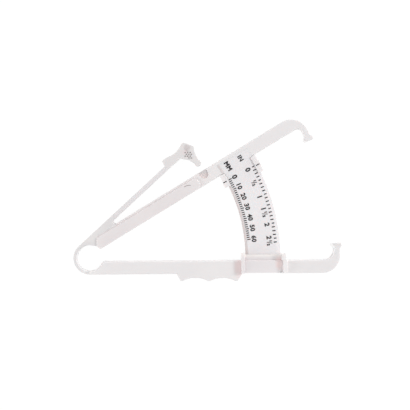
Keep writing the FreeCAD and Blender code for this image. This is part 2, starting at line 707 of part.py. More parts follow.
def thumb_head(caliper):
    """Thumb rest at the leaf's end, with a leg and a round nib over the notch."""
    body = caliper.piece("thumb_head", "open_angle")
    half = "((dish_end - dish_start)/2)"
    dish = f"(({half}^2 + dish_deep^2)/(2*dish_deep))"
    knee = ("leg_back + leg_lean", "-leg_below")
    shin = (f"{knee[0]} + leg_wide", "-leg_below")

    def spot(ahead, above):
        return on_lever(f"{LEAF_END} + {ahead}", f"{LEAF_OUTER} + {above}")

    def on_nib(angle):
        return spot(f"nib_ahead + nib_radius*cos({angle})", f"nib_radius*sin({angle}) - nib_below")

    front = [
        spot(*shin),
        spot("front_ahead", "-front_below"),
        spot("dish_end + ridge_wide", "dish_rim"),
        (*spot("dish_end", "dish_rim"), dish, -1),
        spot("dish_start", "dish_rim"),
        spot("heel_ahead", "head_heel"),
        spot("0", "0"),
        spot("0", "-leaf_thick"),
        spot("leg_back", "-leaf_thick"),
        spot(*knee),
    ]
    leg = [
        (*on_nib("180 - nib_flank"), "nib_radius", 1),
        (*on_nib("270"), "nib_radius", 1),
        on_nib("nib_flank"),
    ]
    step = "notch_floor + floor_gap"
    caliper.pad(body, "Front", front + leg, step, "blade_thick")
    root = caliper.between(front[6], front[7])
    at_front = caliper.rim("blade_thick")
    caliper.fillet(body, "FrontEdges", "slim_round",
                   lambda edge: at_front(edge) and not root(edge))
    caliper.pad(body, "Back", front, FLEXURE_BACK, step)
    at_back = caliper.rim(FLEXURE_BACK)
    caliper.bevel(body, "BackEdges", "back_bevel", "back_bevel",
                  lambda edge: at_back(edge) and not root(edge))
    return body


def build():
    caliper = Caliper()
    lower_arm(caliper)
    scale_guide(caliper)
    loop_spring(caliper)
    arm_root(caliper)
    upper_arm(caliper)
    scale_arc(caliper)
    index_rider(caliper)
    lever_leaf(caliper)
    thumb_head(caliper)
    return caliper


def write(caliper):
    """Checks every object, then writes one STEP file for each piece."""
    caliper.doc.recompute()
    for thing in caliper.doc.Objects:
        if "Invalid" in thing.State or "Error" in thing.State:
            raise RuntimeError(f"{thing.Name} failed: {thing.State}")
    os.makedirs("parts", exist_ok=True)
    for body in caliper.pieces:
        shape = body.Shape
        if shape.isNull() or not shape.isValid() or len(shape.Solids) != 1:
            raise RuntimeError(f"{body.Label} has no sound solid")
        shape.exportStep(f"parts/{body.Label}.step")
        print(f"{body.Label}: {shape.Volume:.1f} mm3, {len(shape.Faces)} faces")


write(build())
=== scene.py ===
# %% [markdown]
# # A skinfold caliper, dressed for the camera
# This lesson takes a moulded plastic caliper that is already drawn as solids and gives it
# what a camera sees: soft light, a satin plastic with life in it, a printed scale, and
# springs that bend as the real ones do. Run the cells from top to bottom.
#
# The first cell loads the solids. They come in as a fixed frame, in metres, with their
# places inside their meshes.

# %% Load the fixed frame
import json
import math

import bpy
from mathutils import Matrix, Vector


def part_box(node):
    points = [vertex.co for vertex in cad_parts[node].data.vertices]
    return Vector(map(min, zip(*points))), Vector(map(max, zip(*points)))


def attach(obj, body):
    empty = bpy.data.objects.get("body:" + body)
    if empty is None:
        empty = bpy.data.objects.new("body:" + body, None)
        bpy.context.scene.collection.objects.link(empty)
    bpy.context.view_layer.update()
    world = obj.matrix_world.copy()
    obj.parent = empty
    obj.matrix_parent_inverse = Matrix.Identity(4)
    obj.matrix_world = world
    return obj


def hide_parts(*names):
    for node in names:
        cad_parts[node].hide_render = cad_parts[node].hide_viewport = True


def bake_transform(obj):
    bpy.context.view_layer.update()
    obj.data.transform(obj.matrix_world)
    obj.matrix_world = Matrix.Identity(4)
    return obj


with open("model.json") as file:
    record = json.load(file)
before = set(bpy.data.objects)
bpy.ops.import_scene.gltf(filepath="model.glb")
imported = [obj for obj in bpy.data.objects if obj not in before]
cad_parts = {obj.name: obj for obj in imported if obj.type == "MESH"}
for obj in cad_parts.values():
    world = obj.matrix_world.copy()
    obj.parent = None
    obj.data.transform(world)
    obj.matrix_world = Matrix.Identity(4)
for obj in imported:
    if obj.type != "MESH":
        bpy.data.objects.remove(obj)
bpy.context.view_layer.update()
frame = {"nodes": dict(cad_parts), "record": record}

print("solids:", ", ".join(sorted(frame["nodes"])))

# %% [markdown]
# ## Where everything is measured from
# A caliper is easiest to think of from its hinge line. The real tool has no pin there:
# its spring loop bends about that line, and both scales are arcs round it. The record
# that came with the solids says where it is, and how far the jaws open. The sizes in
# this lesson are in millimetres, and small helpers turn them into metres.
#
# At rest the jaws are open, so the upper arm is turned up by that whole angle. The slopes
# of its blade and of the spring leaf are those of closed jaws, and come on top of it.

# %% The hinge line, the leaf's root and the angles
MM = 0.001
joints = {joint["name"]: joint for joint in frame["record"]["behaviour"]["joints"]}
hinge = Vector(joints["jaw_close"]["pos_m"])
leaf_root = Vector(joints["press_lever"]["pos_m"])
OPEN = math.radians(joints["jaw_close"]["range_deg"][1])
BLADE_SLOPE = math.radians(7.25)
LEAF_SLOPE = math.radians(18.6)


def from_hinge(x, y, z=0.0):
    """A place given in millimetres from the hinge line, and from the back in z."""
    return Vector((hinge.x + x * MM, hinge.y + y * MM, z * MM))


def about_hinge(angle):
    """The matrix that brings the origin to the hinge line and turns by an angle about it."""
    return Matrix.Translation(from_hinge(0, 0)) @ Matrix.Rotation(angle, 4, "Z")


print("hinge line at", [round(v / MM, 1) for v in hinge], "mm")

# %% [markdown]
# ## The camera
# The tool lies on its back and is seen from straight above, nearly square to the table.
# A long lens from half a metre away keeps the arms straight and still shows a little of
# their sides. The camera is placed by the point of the tool that it looks at, and its
# lens by how wide a strip it has to take in at the height of the scale plate.

# %% Look straight down
CAMERA_HIGH, PLATE_HIGH = 526, 6
SEEN_WIDE = 254.2
SENSOR_WIDE = 36
LOOK_AT = (77.14, 32.75)
CAMERA_TURN = math.radians(-0.45)
camera_data = bpy.data.cameras.new("camera")
camera_data.sensor_width = SENSOR_WIDE
camera_data.lens = SENSOR_WIDE * (CAMERA_HIGH - PLATE_HIGH) / SEEN_WIDE
camera_data.clip_start = 0.01
camera = bpy.data.objects.new("camera", camera_data)
camera.location = from_hinge(*LOOK_AT, CAMERA_HIGH)
camera.rotation_euler = (0, 0, CAMERA_TURN)
bpy.context.collection.objects.link(camera)
bpy.context.scene.camera = camera
bpy.context.scene.view_settings.view_transform = "Standard"
print("lens", round(camera_data.lens, 1), "mm")

# %% [markdown]
# ## Materials out of nodes
# Every finish here is a tree of shader nodes. By hand, that is the same few steps over
# and over: add a node, set its fields, pull a link to the next. The helper below makes an
# empty material and hands back two short commands that do just those.

# %% A helper for building materials
def new_material(name):
    """An empty node material, a way to add nodes to it and a way to link them."""
    material = bpy.data.materials.new(name)
    material.use_nodes = True
    tree = material.node_tree
    tree.nodes.clear()

    def add(kind, **settings):
        """Adds a node. Each setting is a choice of the node, or else an input's value."""
        node = tree.nodes.new("ShaderNode" + kind)
        for key, setting in settings.items():
            if hasattr(node, key):
                setattr(node, key, setting)
            else:
                node.inputs[key.replace("_", " ")].default_value = setting
        return node

    return material, add, tree.links.new


# %% [markdown]
# ## A table that stays white
# White plastic on a white table needs care: if the light is turned up until the table
# is white, the plastic burns out. So the table makes most of its brightness itself, and
# the lamps only add the rest. That keeps it white, and it keeps a soft shadow.
#
# A Light Path node lets it do two jobs at once. What the camera sees, straight, in a
# glossy face or through something clear, is nearly all glow. The light that it throws up
# at the plastic is half glow and half lamp light, as from a sheet of paper, and it fills
# the walls of the tool softly.

# %% The table's paint
table_paint, add, link = new_material("table_white")
output = add("OutputMaterial")


def white_sheet(lit, glowing):
    """Plain white that is partly lit by the lamps and partly glows by itself."""
    matt = add("BsdfDiffuse", Color=(lit, lit, lit, 1))
    glow = add("Emission", Color=(1, 1, 1, 1), Strength=glowing)
    both = add("AddShader")
    link(matt.outputs[0], both.inputs[0])
    link(glow.outputs[0], both.inputs[1])
    return both.outputs[0]


def either(one, other):
    """A value that is 1 where one of two values is."""
    larger = add("Math", operation="MAXIMUM")
    link(one, larger.inputs[0])
    link(other, larger.inputs[1])
    return larger.outputs[0]


path = add("LightPath")
seen = either(path.outputs["Is Camera Ray"], path.outputs["Is Glossy Ray"])
mix = add("MixShader")
link(either(seen, path.outputs["Is Transmission Ray"]), mix.inputs[0])
link(white_sheet(lit=0.45, glowing=0.55), mix.inputs[1])
link(white_sheet(lit=0.1, glowing=0.93), mix.inputs[2])
link(mix.outputs[0], output.inputs[0])
print("table paint mixed")

# %% Lay the table
TABLE_WIDE = 6000
TABLE_DOWN = 0.2
bpy.ops.object.select_all(action="DESELECT")
bpy.ops.mesh.primitive_plane_add(size=TABLE_WIDE * MM, location=(0, 0, -TABLE_DOWN * MM))
table = bpy.context.active_object
table.name = "table"
table.data.materials.append(table_paint)
print("table laid")

# %% [markdown]
# ## Light
# Studio light for small white things comes from all round. The world gives the even
# part. Three far lamps stand low about the table and light the walls and rounded edges
# more than the flat faces, which is what shows the shape of a white thing: a fairly sharp
# key from the right, a broad fill from the left, and a weaker one from behind. Together
# they light a flat face so that a colour comes out about as it is written.

# %% World and lamps
STUDIO_BRIGHT = 0.74
world = bpy.data.worlds.new("studio")
bpy.context.scene.world = world
world.use_nodes = True
background = world.node_tree.nodes["Background"]
background.inputs["Color"].default_value = (1, 1, 1, 1)
background.inputs["Strength"].default_value = STUDIO_BRIGHT


def far_lamp(name, energy, soft, low, round_about):
    """A far lamp, low above the table and round about it from +X. All angles in degrees."""
    data = bpy.data.lights.new(name, "SUN")
    data.energy = energy
    data.angle = math.radians(soft)
    lamp = bpy.data.objects.new(name, data)
    height = math.radians(low)
    bearing = math.radians(round_about)
    way = Vector((
        math.cos(height) * math.cos(bearing),
        math.cos(height) * math.sin(bearing),
        math.sin(height),
    ))
    lamp.rotation_euler = way.to_track_quat("Z", "Y").to_euler()
    bpy.context.collection.objects.link(lamp)
    print(name, "lamp from", [round(v, 2) for v in way])


far_lamp("key", energy=1.35, soft=12, low=24, round_about=15)
far_lamp("left_fill", energy=1.3, soft=40, low=9, round_about=205)
far_lamp("far_fill", energy=0.7, soft=40, low=9, round_about=95)

# %% [markdown]
# ## Satin plastic
# The arms are an off-white moulding. Up close such plastic isn't one flat colour: the
# melt leaves faint clouds, the steel mould a fine grain, and handling polishes it
# unevenly. Three noises do that, each at its own size, all on object coordinates so that
# the pattern stays on the part. First come the small steps that every finish is made of.

# %% Noise, tones, ranges and paint
def noise(add, link, place, scale, detail, roughness):
    """A cloudy noise on object coordinates. A larger scale makes it finer."""
    clouds = add("TexNoise", Scale=scale, Detail=detail, Roughness=roughness)
    link(place.outputs["Object"], clouds.inputs["Vector"])
    return clouds.outputs["Fac"]


def two_tones(add, link, value, dark, light, dark_below, light_above):
    """A colour that drifts from a dark tone to a light one as a value rises."""
    tones = add("ValToRGB")
    tones.color_ramp.elements[0].position = dark_below
    tones.color_ramp.elements[0].color = (*dark, 1)
    tones.color_ramp.elements[1].position = light_above
    tones.color_ramp.elements[1].color = (*light, 1)
    link(value, tones.inputs["Fac"])
    return tones.outputs["Color"]


def ranged(add, link, value, **limits):
    """A value brought from one range to another and held at its ends."""
    limited = add("MapRange", **limits)
    link(value, limited.inputs["Value"])
    return limited.outputs["Result"]


def product(add, link, one, other):
    """Two values multiplied."""
    times = add("Math", operation="MULTIPLY")
    link(one, times.inputs[0])
    link(other, times.inputs[1])
    return times.outputs[0]


def painted(add, link, colour, paint, much, blend="MIX"):
    """A colour with a paint over it, as much as a value says. MULTIPLY makes it a tint."""
    coat = add("Mix", data_type="RGBA", blend_type=blend)
    link(much, coat.inputs["Factor"])
    link(colour, coat.inputs["A"])
    coat.inputs["B"].default_value = (*paint, 1)
    return coat.outputs["Result"]


# %% [markdown]
# ## Painted highlights and painted shade
# Two things help the eye read the shape. Edges get a painted highlight, paler and
# smoother, and corners get painted shade. A Bevel node gives the normal that a rounded
# edge would have, so where it differs from the true normal there is an edge. An Ambient
# Occlusion node is dark in a corner. Both only look at the shape, never at the camera.

# %% Where the edges take a painted highlight, and the corners painted shade
SAMPLES = 6
# How well the two normals agree on a face and on an edge: 6 and 28 degrees apart.
ON_FACE, ON_EDGE = 0.995, 0.88
# How open a place is that takes no painted shade, and one that takes it in full.
UNSHADED, FULLY_SHADED = 0.85, 0.35


def rubbed_edges(add, link, wide):
    """A value that is 1 along outer edges, up to wide mm from them, and 0 elsewhere."""
    rounded = add("Bevel", Radius=wide * MM, samples=SAMPLES)
    true_side = add("NewGeometry")
    along = add("VectorMath", operation="DOT_PRODUCT")
    link(rounded.outputs["Normal"], along.inputs[0])
    link(true_side.outputs["Normal"], along.inputs[1])
    return ranged(add, link, along.outputs["Value"], From_Min=ON_FACE, From_Max=ON_EDGE)


def dusty_corners(add, link, reach):
    """A value that is 1 deep in a corner of the same piece, and 0 on open faces."""
    hidden = add("AmbientOcclusion", Distance=reach * MM, samples=SAMPLES, only_local=True)
    return ranged(add, link, hidden.outputs["AO"], From_Min=UNSHADED, From_Max=FULLY_SHADED)


# %% [markdown]
# ## Marks that have one place
# Some marks have one place only: a painted shadow by the cover's ear, a thin wall that
# light comes through, painted shade along the plate's bevel. For those, the distance from a
# place, or from the hinge line, is turned into a soft blend towards another colour.
#
# A broad one is better made a tint. It makes the plastic a little darker there and leaves
# its clouds and its painted edge highlight as they are.

# %% Spots and rings of another colour
def how_far(add, link, place, centre, per_metre):
    """How far a point is from a centre, with a measure of its own along each axis."""
    moved = add("Mapping", vector_type="POINT", Scale=per_metre)
    moved.inputs["Location"].default_value = [-c * k for c, k in zip(centre, per_metre)]
    link(place.outputs["Object"], moved.inputs["Vector"])
    far = add("VectorMath", operation="LENGTH")
    link(moved.outputs["Vector"], far.inputs[0])
    return far.outputs["Value"]


def soft_spot(add, link, place, colour, centre, reach, paint, patchy=0.0, blend="MIX"):
    """Turns a colour softly into another one round a centre, out to a reach in mm along
    X, Y and Z. A patchy spot lets the first colour through here and there."""
    far = how_far(add, link, place, centre, [1 / (mm * MM) for mm in reach])
    near = ranged(add, link, far, interpolation_type="SMOOTHSTEP", From_Min=1.0, From_Max=0.35)
    patches = noise(add, link, place, scale=420.0, detail=3.0, roughness=0.6)
    cover = ranged(add, link, patches, From_Min=0.4, From_Max=0.6, To_Min=1 - patchy)
    return painted(add, link, colour, paint, product(add, link, near, cover), blend)


def soft_ring(add, link, place, colour, gone, full, paint):
    """Turns a colour softly into another one between two radii about the hinge line, in mm."""
    radius = how_far(add, link, place, hinge, (1 / MM, 1 / MM, 0))
    near = ranged(add, link, radius, interpolation_type="SMOOTHSTEP", From_Min=gone, From_Max=full)
    return painted(add, link, colour, paint, near)


# %% [markdown]
# ## One recipe for all the plastics
# The steps come together here. The colour starts as clouds, is painted paler along the
# edges as a painted highlight, darker in the corners as painted shade, and last takes the
# marks that have one place. A little light goes into the plastic and comes out again
# beside, as it does in a milky moulding. The same noise that makes the painted highlight
# uneven makes the gloss uneven too.

# %% The recipe
HIGHLIGHT_PALE = (0.88, 0.87, 0.87)
CORNER_SHADE_TINT = (0.9, 0.84, 0.84)
HIGHLIGHT_WIDE, CORNER_SHADE_REACH = 0.65, 2.0
GLOSS_DRIFT, EDGE_POLISH = 0.07, 0.1
GRAIN_DEEP = 0.03


def plastic(name, light, dark, rough, grain, milky=0.15, highlight_paint=HIGHLIGHT_PALE, spots=(), rings=()):
    """A satin plastic that drifts between two colours, with a fine moulded grain."""
    material, add, link = new_material(name)
    output = add("OutputMaterial")
    shader = add("BsdfPrincipled", Subsurface_Weight=milky, Subsurface_Radius=(1.0, 0.85, 0.8))
    shader.inputs["Subsurface Scale"].default_value = 2 * MM
    shader.inputs["Specular IOR Level"].default_value = 0.35
    link(shader.outputs[0], output.inputs[0])
    place = add("TexCoord")

    clouds = noise(add, link, place, scale=55.0, detail=3.0, roughness=0.55)
    colour = two_tones(add, link, clouds, dark, light, dark_below=0.35, light_above=0.65)
    edge = rubbed_edges(add, link, HIGHLIGHT_WIDE)
    polish = noise(add, link, place, scale=140.0, detail=4.0, roughness=0.6)
    uneven = ranged(add, link, polish, To_Min=0.5, To_Max=1.0)
    # Painted highlight: the edges are painted paler.
    colour = painted(add, link, colour, highlight_paint, product(add, link, edge, uneven))
    # Painted shade: the corners are painted darker and a little pinker.
    colour = painted(add, link, colour, CORNER_SHADE_TINT, dusty_corners(add, link, CORNER_SHADE_REACH), "MULTIPLY")
    for spot in spots:
        colour = soft_spot(add, link, place, colour, **spot)
    for ring in rings:
        colour = soft_ring(add, link, place, colour, **ring)
    link(colour, shader.inputs["Base Color"])

    gloss = ranged(add, link, polish, To_Min=rough - GLOSS_DRIFT, To_Max=rough + GLOSS_DRIFT)
    smoother = add("Math", operation="MULTIPLY_ADD")
    link(edge, smoother.inputs[0])
    smoother.inputs[1].default_value = -EDGE_POLISH
    link(gloss, smoother.inputs[2])
    link(smoother.outputs[0], shader.inputs["Roughness"])

    mould = noise(add, link, place, scale=2600.0, detail=2.0, roughness=0.6)
    bump = add("Bump", Strength=grain, Distance=GRAIN_DEEP * MM)
    link(mould, bump.inputs["Height"])
    link(bump.outputs["Normal"], shader.inputs["Normal"])
    return material


# %% [markdown]
# ## The arms' plastic
# The arms, the root, the thumb head and the springs are one batch. They still don't look
# the same all over: against the lower arm, the upper arm, the root and the thumb head are
# a little darker, and so are the thin walls of the springs; on the back of the loop, away
# from the key lamp, that tint is painted shade. Each of those gets a broad tint, and the
# few small marks of its own, several of them painted light or painted shade. All places
# are in millimetres from the hinge line.

# %% Mix the arms' batch
ARM = dict(light=(0.815, 0.79, 0.79), dark=(0.79, 0.765, 0.77), rough=0.46, grain=0.5)
TINT_HIGH = 6


def patch(x, y, z, reach, paint, **more):
    """A spot's place, its reach in mm along X, Y and Z, and its paint."""
    return dict(centre=from_hinge(x, y, z), reach=reach, paint=paint, **more)


def shade(x, y, reach, tint):
    """A broad soft tint that reaches equally far every way."""
    return patch(x, y, TINT_HIGH, (reach, reach, reach), tint, blend="MULTIPLY")


# Painted light where the loop's foot meets the lower arm, and painted shade where its crown meets the
# root.
LOOP_FOOT_LIGHT = patch(4.5, -9.0, 7, (7, 3.4, 9), (0.81, 0.79, 0.79))
LOOP_CROWN_SHADE = patch(5.6, 8.8, 7, (6, 2.6, 7), (0.73, 0.71, 0.715))
# The loop, the root and the leaf, and the loop's two ends. The tint on the loop's back,
# away from the key lamp, is painted shade.
arm_plastic = plastic("arm_plastic", **ARM, spots=[
    shade(-4.0, -1.0, 17, (0.935, 0.945, 0.95)),
    shade(12.0, 12.0, 24, (0.95, 0.95, 0.945)),
    shade(37.0, 41.0, 44, (0.925, 0.925, 0.935)),
    LOOP_FOOT_LIGHT,
    LOOP_CROWN_SHADE,
])
# A painted shadow cast by the cover's left ear, and a jaw's neck with painted light on
# its inner wall, darker down its middle and with a painted shadow by its pad.
lower_plastic = plastic("lower_plastic", **ARM, spots=[
    LOOP_FOOT_LIGHT,
    # Painted shadow cast by the cover's left ear.
    patch(98.4, -5.5, 9, (5, 9, 8), (0.81, 0.69, 0.685)),
    # Painted light on the inner wall of the jaw's neck.
    patch(155.3, 5.8, 6, (3, 6, 12), (0.96, 0.95, 0.95)),
    patch(157.9, 3.5, 9, (1.5, 6, 6), (0.78, 0.765, 0.77)),
    # Painted shadow by the jaw's pad.
    patch(158.0, 8.6, 8, (6, 2.4, 6), (0.72, 0.70, 0.70)),
])
# The blade, and the thin floor of the notch, which light comes through.
upper_plastic = plastic("upper_plastic", **ARM, spots=[
    shade(36.0, 25.0, 66, (0.97, 0.945, 0.945)),
    patch(76.4, 49.4, 1.6, (4.6, 4.6, 4.6), (0.97, 0.89, 0.885)),
])
# The whole head, polished by the thumb, and two darker patches where it rests.
thumb_plastic = plastic("thumb_plastic", **dict(ARM, rough=0.42), spots=[
    shade(58.0, 62.0, 40, (0.94, 0.935, 0.93)),
    patch(66.2, 68.2, 6, (2.6, 3.2, 6), (0.54, 0.485, 0.485), patchy=0.6),
    patch(64.6, 65.6, 6, (2.2, 1.8, 6), (0.78, 0.67, 0.675), patchy=0.4),
])
print("the arms' four plastics mixed")

# %% [markdown]
# ## The plastics of the other pieces
# The plate and the clip are clearer and a little pinker than the arms, and the cover is a
# shade darker. The plate has painted shade along its inner bevel, and the cover has painted
# light along its top and on its right ear, and a warm painted shadow beside that ear. The
# pips are the darkest: their grey is painted shade.

# %% Mix the other four
scale_plastic = plastic(
    "scale_plastic", light=(0.82, 0.80, 0.81), dark=(0.80, 0.77, 0.785), rough=0.42, grain=0.35,
    # Painted shade along the plate's inner bevel, which faces away from the key lamp.
    milky=0.3, rings=[dict(gone=104.4, full=102.6, paint=(0.70, 0.64, 0.635))],
)
rider_plastic = plastic(
    "rider_plastic", light=(0.85, 0.81, 0.81), dark=(0.83, 0.785, 0.79), rough=0.38, grain=0.4,
    milky=0.25,
)
cover_plastic = plastic(
    "cover_plastic", light=(0.80, 0.765, 0.775), dark=(0.78, 0.74, 0.75), rough=0.38, grain=0.4,
    spots=[
        # Painted light along the top of the cover.
        patch(112, 3.0, 7, (40, 3.8, 9), (0.88, 0.84, 0.82)),
        # A warm painted shadow beside the right ear.
        patch(122.6, -4.0, 6, (4, 6, 5), (0.86, 0.69, 0.67)),
        # Painted light on the right ear.
        patch(126.6, -3.0, 9, (2.6, 12, 12), (0.845, 0.82, 0.82)),
    ],
)
# A dark grey. On the pips it is painted shade.
pip_plastic = plastic(
    "pip_plastic", light=(0.34, 0.30, 0.30), dark=(0.22, 0.19, 0.19), rough=0.45, grain=0.3,
    milky=0.0, highlight_paint=(0.36, 0.32, 0.32),
)
print("the plate's, the clip's, the cover's and the pips' plastics mixed")

# %% [markdown]
# ## Dress the solids
# Each solid keeps its shape and gets its plastic. The two arms and the thumb head share
# one batch, and each has its own few marks. The plate, the clip and the cover have
# plastics of their own.

# %% Give each solid its plastic
FINISH = {
    "lower_arm": lower_plastic,
    "upper_arm": upper_plastic,
    "arm_root": arm_plastic,
    "thumb_head": thumb_plastic,
    "loop_spring": arm_plastic,
    "lever_leaf": arm_plastic,
    "scale_arc": scale_plastic,
    "scale_guide": cover_plastic,
    "index_rider": rider_plastic,
}
for name, finish in FINISH.items():
    node = frame["nodes"][name]
    node.data.materials.clear()
    node.data.materials.append(finish)
print("dressed", len(FINISH), "solids")

# %% [markdown]
# ## Starting a piece and closing it
# Nearly every new piece begins as a plane in edit mode, and ends in the same way: points
# that lie on each other are merged, the faces are turned outwards, and the rounds are
# shaded smooth while the corners stay sharp. Two helpers do that for all of them.

# %% Helpers for starting a piece and for closing it
DOUBLES = 0.001
SHARP = math.radians(40)


def start_plane(name, across, up):
    """A plane at the origin in edit mode, all selected, of the two given sizes."""
    bpy.ops.object.select_all(action="DESELECT")
    bpy.ops.mesh.primitive_plane_add(size=1)
    piece = bpy.context.active_object
    piece.name = name
    bpy.ops.object.mode_set(mode="EDIT")
    bpy.ops.mesh.select_all(action="SELECT")
    bpy.ops.transform.resize(value=(across * MM, up * MM, 1))
    return piece


def settle(piece, finish):
    """Merges doubles, turns the faces outwards, smooths the rounds and gives the finish."""
    bpy.ops.object.mode_set(mode="EDIT")
    bpy.ops.mesh.select_all(action="SELECT")
    bpy.ops.mesh.remove_doubles(threshold=DOUBLES * MM)
    bpy.ops.mesh.normals_make_consistent(inside=False)
    bpy.ops.object.mode_set(mode="OBJECT")
    bpy.ops.object.shade_smooth_by_angle(angle=SHARP)
    piece.data.materials.clear()
    piece.data.materials.append(finish)
    print(piece.name, "has", len(piece.data.polygons), "faces")


# %% [markdown]
# ## The spring loop
# On the real tool one C-shaped wall joins the two arms and pushes them apart. It bends,
# so a stiff solid can't stand for it. Its section is a small rounded rectangle: drawn
# once as a plane, its corners bevelled, it is stood on its edge at the loop's foot and
# spun about the loop's centre. The loop's size is read off its solid.

# %% Read the loop's size off its solid
loop_low, loop_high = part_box("loop_spring")
loop_radius = (loop_high[0] - loop_low[0]) / MM
loop_centre = Vector((loop_high[0], loop_low[1] + loop_radius * MM, 0))
wall_low, wall_high = loop_low[2] / MM, loop_high[2] / MM
print("loop of radius", round(loop_radius, 2), "mm")

# %% Stand a section up, and spin the loop from it
EDGE = 0.5
LOOP_WALL = 2.1
LOOP_STEPS = 56
LOOP_SWEEP = math.pi - OPEN - LEAF_SLOPE


def wall_section(name, thick, turn, x, y):
    """A spring's rounded section, stood on its edge, turned about Z and brought to x and y."""
    piece = start_plane(name, thick, wall_high - wall_low)
    bpy.ops.mesh.bevel(offset=EDGE * MM, segments=3, affect="VERTICES")
    bpy.ops.transform.rotate(value=-math.pi / 2, orient_axis="X", center_override=(0, 0, 0))
    bpy.ops.transform.rotate(value=turn, orient_axis="Z", center_override=(0, 0, 0))
    bpy.ops.transform.translate(value=(x, y, (wall_low + wall_high) / 2 * MM))
    return piece


loop_foot = loop_centre.y - (loop_radius - LOOP_WALL / 2) * MM
loop = wall_section("spring_loop", LOOP_WALL, math.pi / 2, loop_centre.x, loop_foot)
bpy.ops.mesh.spin(steps=LOOP_STEPS, angle=LOOP_SWEEP, center=loop_centre, axis=(0, 0, 1))
settle(loop, arm_plastic)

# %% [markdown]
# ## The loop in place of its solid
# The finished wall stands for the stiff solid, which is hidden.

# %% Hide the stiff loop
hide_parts("loop_spring")
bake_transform(loop)

# %% [markdown]
# ## The spring leaf
# The thumb head sits on a thin leaf that leaves the arm's root at a steep angle. It is
# as plain as a ruler, but it has to bend in an even curve when the head is pressed, and
# a bar bends only where it has edges across it. So its section is extruded in many short
# steps instead of one long one.

# %% Extrude the leaf in steps
LEAF_THICK, LEAF_LONG = 2.8, 45.7
LEAF_STEPS = 24
leaf_turn = OPEN + LEAF_SLOPE
leaf_way = Vector((math.cos(leaf_turn), math.sin(leaf_turn), 0))
leaf = wall_section("spring_leaf", LEAF_THICK, math.pi / 2 - leaf_turn, leaf_root.x, leaf_root.y)
for _ in range(LEAF_STEPS):
    bpy.ops.mesh.extrude_region_move(
        TRANSFORM_OT_translate={"value": leaf_way * (LEAF_LONG / LEAF_STEPS * MM)}
    )
settle(leaf, arm_plastic)
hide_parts("lever_leaf")
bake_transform(leaf)

# %% [markdown]
# ## The web in the fork
# Where the leaf's root meets the arm, the solid arm has a rounded edge and the block
# beside it has none, so a narrow groove is left between two parts of what is really one
# moulding. A thin web closes it flush: one small section, extruded along the arm's edge
# and drawn to a point at the fork. It is drawn level, and then turned with the blade.

# %% A web along the arm's upper edge
BLADE_TOP = 7.35
WEB = 0.8
WEB_FROM, WEB_TO = 17.4, 29.8
TIP_LONG, TIP_SLIM = 1.2, 0.1
arm_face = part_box("arm_root")[1][2] / MM
web = start_plane("root_web", WEB, WEB)
bpy.ops.transform.rotate(value=-math.pi / 2, orient_axis="Y", center_override=(0, 0, 0))
bpy.ops.transform.translate(value=(WEB_FROM * MM, (BLADE_TOP - WEB / 2) * MM, (arm_face - WEB / 2) * MM))
for stretch in (WEB_TO - WEB_FROM - TIP_LONG, TIP_LONG):
    bpy.ops.mesh.extrude_region_move(TRANSFORM_OT_translate={"value": (stretch * MM, 0, 0)})
tip = (WEB_TO * MM, BLADE_TOP * MM, (arm_face - WEB) * MM)
bpy.ops.transform.resize(value=(1, TIP_SLIM, TIP_SLIM), center_override=tip)
bpy.ops.object.mode_set(mode="OBJECT")
web.data.transform(about_hinge(OPEN + BLADE_SLOPE))
settle(web, arm_plastic)
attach(web, "upper")

# %% [markdown]
# ## Ink
# The scale is printed in black. Print on plastic is a very thin film: it is a little
# glossier than the plastic, and its black is uneven where the ink took less well. So
# each mark is a thin solid that stands a few hundredths of a millimetre proud.

# %% The ink
INK_PROUD = 0.03
ink, add, link = new_material("scale_ink")
output = add("OutputMaterial")
shader = add("BsdfPrincipled")
link(shader.outputs[0], output.inputs[0])
worn = noise(add, link, add("TexCoord"), scale=900.0, detail=3.0, roughness=0.6)
BLACK, FADED = (0.012, 0.011, 0.013), (0.05, 0.045, 0.05)
black = two_tones(add, link, worn, dark=BLACK, light=FADED, dark_below=0.35, light_above=0.75)
link(black, shader.inputs["Base Color"])
link(ranged(add, link, worn, To_Min=0.3, To_Max=0.5), shader.inputs["Roughness"])
print("ink mixed")

# %% [markdown]
# ## Printing on the plate
# The plate is flat with a bevel along each edge, and both rows of marks run over the edge
# of a bevel. So the print is drawn flat, and then each of its points is set down on the
# plate's surface, wherever it comes to lie.

# %% Where the plate's surface is
PLATE_INNER, PLATE_OUTER = 102.0, 123.8
BEVEL_INNER, BEVEL_OUTER, BEVEL_DEEP = 1.8, 2.6, 0.6
plate_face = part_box("scale_arc")[1][2] / MM


def plate_height(radius):
    """The height of the plate's surface at a distance from the hinge line."""
    inside = (PLATE_INNER + BEVEL_INNER - radius) / BEVEL_INNER
    outside = (radius - PLATE_OUTER + BEVEL_OUTER) / BEVEL_OUTER
    return plate_face - BEVEL_DEEP * max(inside, outside, 0)


def lay_down(piece):
    """Sets a flat print down on the plate, with its thickness above the surface."""
    for vertex in piece.data.vertices:
        radius = math.hypot(vertex.co.x - hinge.x, vertex.co.y - hinge.y) / MM
        vertex.co.z += plate_height(radius) * MM


print("plate's face at", round(plate_face, 2), "mm")


# %% Helpers for copying, joining and printing
def copy_to(piece, place):
    """A copy of a piece, with a mesh of its own that a matrix brings to its place."""
    bpy.ops.object.select_all(action="DESELECT")
    piece.select_set(True)
    bpy.context.view_layer.objects.active = piece
    bpy.ops.object.duplicate(linked=False)
    twin = bpy.context.active_object
    twin.data.transform(place)
    return twin


def join_all(name, parts):
    """Joins parts into one piece."""
    bpy.ops.object.select_all(action="DESELECT")
    for part in parts:
        part.select_set(True)
    bpy.context.view_layer.objects.active = parts[0]
    bpy.ops.object.join()
    parts[0].name = name
    return parts[0]


def print_on_plate(name, parts):
    """Joins parts of the print, lays them on the plate, inks them and lets them ride on it."""
    row = join_all(name, parts)
    lay_down(row)
    settle(row, ink)
    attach(row, "upper")


